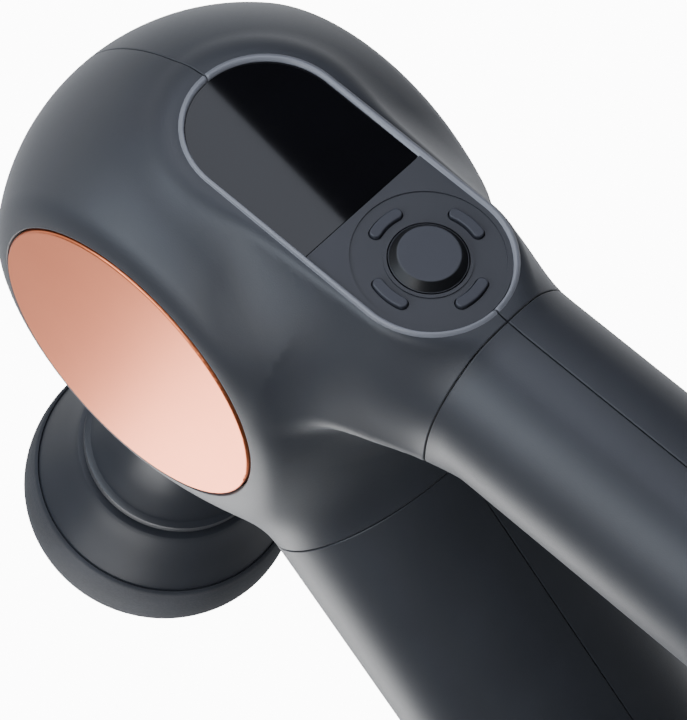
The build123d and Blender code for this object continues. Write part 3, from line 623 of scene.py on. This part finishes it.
def plain_material(name, base, roughness, metallic=0.0, grain=0.00025, bump=0.25, mottle=0.06, **sockets):
    """A material with fine grain, slight colour variation and uneven roughness."""
    material = bpy.data.materials.new(name)
    material.use_nodes = True
    nodes, links = material.node_tree.nodes, material.node_tree.links
    shader = nodes["Principled BSDF"]
    shader.inputs["Metallic"].default_value = metallic
    for socket, value in sockets.items():
        shader.inputs[socket.replace("_", " ")].default_value = value
    place = nodes.new("ShaderNodeTexCoord")
    fine = nodes.new("ShaderNodeTexNoise")
    fine.inputs["Scale"].default_value = 1 / grain
    fine.inputs["Detail"].default_value = 3
    broad = nodes.new("ShaderNodeTexNoise")
    broad.inputs["Scale"].default_value = 60
    broad.inputs["Detail"].default_value = 4
    for noise in (fine, broad):
        links.new(place.outputs["Object"], noise.inputs["Vector"])
    tint = nodes.new("ShaderNodeValToRGB")
    tint.color_ramp.elements[0].color = rgb(*(c * (1 - mottle) for c in base))
    tint.color_ramp.elements[1].color = rgb(*(min(1, c * (1 + mottle)) for c in base))
    tint.color_ramp.elements[0].position = 0.35
    tint.color_ramp.elements[1].position = 0.65
    links.new(broad.outputs["Fac"], tint.inputs["Fac"])
    links.new(tint.outputs["Color"], shader.inputs["Base Color"])
    spread = nodes.new("ShaderNodeMapRange")
    spread.inputs["From Min"].default_value = 0.3
    spread.inputs["From Max"].default_value = 0.7
    spread.inputs["To Min"].default_value = roughness * 0.93
    spread.inputs["To Max"].default_value = min(1.0, roughness * 1.07)
    links.new(fine.outputs["Fac"], spread.inputs["Value"])
    links.new(spread.outputs["Result"], shader.inputs["Roughness"])
    relief = nodes.new("ShaderNodeBump")
    relief.inputs["Strength"].default_value = bump
    relief.inputs["Distance"].default_value = grain * 0.25
    links.new(fine.outputs["Fac"], relief.inputs["Height"])
    links.new(relief.outputs["Normal"], shader.inputs["Normal"])
    return material


MATERIALS = {
    "shell": plain_material(
        "soft_touch_charcoal", (0.022, 0.024, 0.030), 0.46, grain=0.0003, bump=0.3,
        Specular_IOR_Level=0.45, Sheen_Weight=0.18, Sheen_Roughness=0.45,
    ),
    "disc": plain_material(
        "rose_copper_satin", (1.0, 0.27, 0.11), 0.33, metallic=1.0, grain=0.0002, bump=0.12, mottle=0.02,
    ),
    "glass": plain_material(
        "black_cover_glass", (0.002, 0.002, 0.003), 0.03, grain=0.003, bump=0.0, mottle=0.1,
        Specular_IOR_Level=0.33,
    ),
    "plate": plain_material(
        "control_plate_matt", (0.030, 0.031, 0.037), 0.40, grain=0.00015, bump=0.15, Specular_IOR_Level=0.4,
    ),
    "button": plain_material(
        "button_matt", (0.032, 0.034, 0.043), 0.42, grain=0.00015, bump=0.15, Specular_IOR_Level=0.4,
    ),
    "display": plain_material("display_back", (0.015, 0.015, 0.02), 0.25, bump=0.05),
    "inner_plastic": plain_material("moulded_inner", (0.10, 0.10, 0.11), 0.55, grain=0.0004, bump=0.3),
    "board": plain_material("board_laminate", (0.02, 0.14, 0.07), 0.4, grain=0.0008, bump=0.2, mottle=0.2),
    "steel": plain_material("ground_steel", (0.62, 0.62, 0.64), 0.28, metallic=1.0, bump=0.1),
    "shaft_metal": plain_material("hard_coated_shaft", (0.45, 0.45, 0.47), 0.22, metallic=1.0, bump=0.05),
    "alloy": plain_material("cast_alloy", (0.62, 0.63, 0.65), 0.45, metallic=1.0, grain=0.0006, bump=0.35),
    "bush": plain_material("sintered_bronze", (0.62, 0.43, 0.2), 0.4, metallic=1.0, grain=0.0003, bump=0.3),
    "seal": plain_material("black_rubber", (0.018, 0.018, 0.018), 0.62, bump=0.2),
    "iron": plain_material("laminated_iron", (0.22, 0.22, 0.24), 0.5, metallic=0.9, bump=0.4),
    "copper_wire": plain_material(
        "enamelled_wire", (0.55, 0.2, 0.07), 0.35, metallic=0.9, grain=0.0009, bump=0.8,
    ),
    "bell": plain_material("turned_bell", (0.42, 0.42, 0.44), 0.35, metallic=1.0, bump=0.15),
    "cell": plain_material("sleeved_cell", (0.07, 0.2, 0.42), 0.35, bump=0.1),
    "core": plain_material(
        "attachment_matt", (0.022, 0.024, 0.030), 0.42, grain=0.0003, bump=0.25, Specular_IOR_Level=0.45,
    ),
    "pad": plain_material(
        "foam_skin", (0.026, 0.028, 0.034), 0.72, grain=0.0006, bump=0.5, mottle=0.12, Sheen_Weight=0.03,
        Specular_IOR_Level=0.2,
    ),
}
# Painted highlight: a lighter copy of the shell colour for the rolled lip round the panel. It stands in for
# the light that the lip's edge catches.
PANEL_LIP_HIGHLIGHT = plain_material(
    "panel_lip_painted_highlight", (0.17, 0.175, 0.195), 0.36, grain=0.0002, bump=0.1, Specular_IOR_Level=0.5,
)


def paint_side_shade(material, facing, shade):
    """Painted shade: multiplies a material's colour by shade where the surface turns away from a fixed
    direction, so the sides read as shaded.
    """
    nodes, links = material.node_tree.nodes, material.node_tree.links
    shader = nodes["Principled BSDF"]
    before = shader.inputs["Base Color"].links[0].from_socket
    place = nodes.new("ShaderNodeTexCoord")
    turn = nodes.new("ShaderNodeVectorMath")
    turn.operation = "DOT_PRODUCT"
    turn.inputs[1].default_value = facing
    links.new(place.outputs["Normal"], turn.inputs[0])
    share = nodes.new("ShaderNodeMapRange")
    share.inputs["From Min"].default_value = 0.80
    share.inputs["From Max"].default_value = 0.97
    share.inputs["To Min"].default_value = shade
    links.new(turn.outputs["Value"], share.inputs["Value"])
    mix = nodes.new("ShaderNodeVectorMath")
    mix.operation = "SCALE"
    links.new(before, mix.inputs[0])
    links.new(share.outputs["Result"], mix.inputs["Scale"])
    links.new(mix.outputs["Vector"], shader.inputs["Base Color"])


# The centre button's colour carries painted shade: its sides, turned away from the panel's outward
# direction, are darkened to 0.12 of the colour.
SHADED_CENTER_BUTTON = plain_material(
    "center_button_painted_shade", (0.036, 0.038, 0.047), 0.42, grain=0.00015, bump=0.15, Specular_IOR_Level=0.4,
)
paint_side_shade(SHADED_CENTER_BUTTON, Vector((REAR_OUT[0], 0, REAR_OUT[1])), 0.12)
SLOTS = {entry["node"]: entry["material_slot"] for entry in frame["record"]["subparts"]}

for name, piece in frame["nodes"].items():
    wanted = SHADED_CENTER_BUTTON if name == "center_button" else MATERIALS[SLOTS[name]]
    if piece.material_slots:
        for place in piece.material_slots:
            place.material = wanted
    else:
        piece.data.materials.append(wanted)

for name, made in covers.items():
    points, faces, normals, lip_highlight_faces = made
    cover = new_piece(name.replace("shell", "cover"), points, faces, normals)
    cover.data.materials.append(MATERIALS["shell"])
    # The lip faces get the lighter painted-highlight colour.
    if lip_highlight_faces:
        cover.data.materials.append(PANEL_LIP_HIGHLIGHT)
    for index in lip_highlight_faces:
        cover.data.polygons[index].material_index = 1
    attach(cover, "housing")
    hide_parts(name)

# ------------------------------------------------------------------ the attachment
SOCKET_R = 6.05
RIM_R = 31.0
# The hard body: socket, trumpet, first ring, second ring, cone and rim.
core_outline = [(89.5, 0.0), (89.5, SOCKET_R), (66.4, SOCKET_R), (66.0, 6.45), (66.0, 11.0)]
core_outline += [(66.3, 11.7), (67.0, 12.0)]
core_outline += along_curve([(71.0, 12.4), (80.0, 13.2), (88.0, 14.4), (96.0, 17.2), (102.6, 20.9)], 6)
core_outline += [(103.0, 21.9), (103.3, 22.3), (105.6, 22.3), (105.9, 22.1), (106.0, 21.7), (106.0, 20.9)]
core_outline += [(107.2, 20.9), (107.2, 23.1), (107.3, 23.4)]
core_outline += along_curve([(107.6, 23.6), (112.0, 25.7), (117.0, 28.3), (121.6, 30.7)], 4)
core_outline += [(122.2, RIM_R), (128.0, RIM_R), (128.0, 0.0)]

# The foam pad sits over the rim, PAD_PLAY clear of it.
PAD_PLAY = 0.05
pad_outline = [(128.05, 0.0), (128.05, RIM_R + PAD_PLAY), (122.4, RIM_R + PAD_PLAY)]
pad_outline += [(122.1, 31.3), (122.4, 31.7)]
pad_side = [(123.0, 32.0), (127.0, 32.8), (132.0, 33.3), (137.0, 33.1), (141.5, 31.3)]
pad_crown = [(141.5, 31.3), (145.6, 27.3), (148.3, 20.5), (149.6, 11.0), (150.0, 0.0)]
pad_outline += along_curve(pad_side, 5)[:-1]
pad_outline += along_curve(pad_crown, 8)

for name, node, slot, outline in (
    ("attachment_body", "attachment_core", "core", core_outline),
    ("attachment_foam", "attachment_pad", "pad", pad_outline),
):
    piece = turned(name, outline)
    piece.data.materials.append(MATERIALS[slot])
    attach(piece, "attachment")
    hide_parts(node)

# ------------------------------------------------------------------ floor and light
BACKDROP = 12.0
NEAR_GLOW, FAR_GLOW = 0.08, 1.0
floor_mesh = bpy.data.meshes.new("floor")
floor_corners = [(-3, -3, 0), (3, -3, 0), (3, 3, 0), (-3, 3, 0)]
floor_mesh.from_pydata(floor_corners, [], [(0, 1, 2, 3)])
floor = bpy.data.objects.new("floor", floor_mesh)
bpy.context.scene.collection.objects.link(floor)
pale = plain_material("pale_floor", (0.6, 0.6, 0.61), 0.6, grain=0.004, bump=0.02, mottle=0.01)
floor_mesh.materials.append(pale)
floor.visible_glossy = False

world = bpy.data.worlds.new("studio")
world.use_nodes = True
nodes, links = world.node_tree.nodes, world.node_tree.links
seen = nodes["Background"]
seen.inputs["Color"].default_value = rgb(1, 1, 1)
seen.inputs["Strength"].default_value = BACKDROP
around = nodes.new("ShaderNodeBackground")
around.inputs["Color"].default_value = rgb(0.95, 0.97, 1.0)
sky = nodes.new("ShaderNodeTexCoord")
toward = nodes.new("ShaderNodeVectorMath")
toward.operation = "DOT_PRODUCT"
toward.inputs[1].default_value = AHEAD
links.new(sky.outputs["Generated"], toward.inputs[0])
glow = nodes.new("ShaderNodeMapRange")
glow.interpolation_type = "SMOOTHSTEP"
glow.inputs["From Min"].default_value = 0.1
glow.inputs["From Max"].default_value = 0.85
glow.inputs["To Min"].default_value = NEAR_GLOW
glow.inputs["To Max"].default_value = FAR_GLOW
links.new(toward.outputs["Value"], glow.inputs["Value"])
links.new(glow.outputs["Result"], around.inputs["Strength"])
ray = nodes.new("ShaderNodeLightPath")
choice = nodes.new("ShaderNodeMixShader")
links.new(ray.outputs["Is Camera Ray"], choice.inputs["Fac"])
links.new(around.outputs["Background"], choice.inputs[1])
links.new(seen.outputs["Background"], choice.inputs[2])
links.new(choice.outputs["Shader"], nodes["World Output"].inputs["Surface"])
bpy.context.scene.world = world


def soft_light(name, place, size, power, tint=(1, 1, 1)):
    """A rectangular soft box that faces the head, placed relative to the head in metres."""
    light = bpy.data.lights.new(name, "AREA")
    light.shape = "RECTANGLE"
    light.size, light.size_y = size
    light.energy = power
    light.color = tint
    lamp = bpy.data.objects.new(name, light)
    lamp.location = HEAD + Vector(place)
    lamp.rotation_euler = Vector(place).to_track_quat("Z", "Y").to_euler()
    bpy.context.scene.collection.objects.link(lamp)


soft_light("overhead", (0.05, 0.15, 1.00), (0.8, 0.8), 1.6)
soft_light("left_high", (-0.40, 0.75, 0.45), (0.5, 0.9), 8.5, (0.80, 0.89, 1.0))
soft_light("disc_glow", (0.23, 0.14, -0.03), (0.14, 0.14), 0.40)
soft_light("far_side", (0.35, -0.90, 0.40), (0.7, 0.7), 0.3)
soft_light("low_left", (-0.30, 0.62, -0.08), (0.5, 0.16), 1.3)
soft_light("panel_side", (-0.60, -0.045, 0.32), (0.5, 0.7), 3.4, (0.82, 0.87, 1.0))
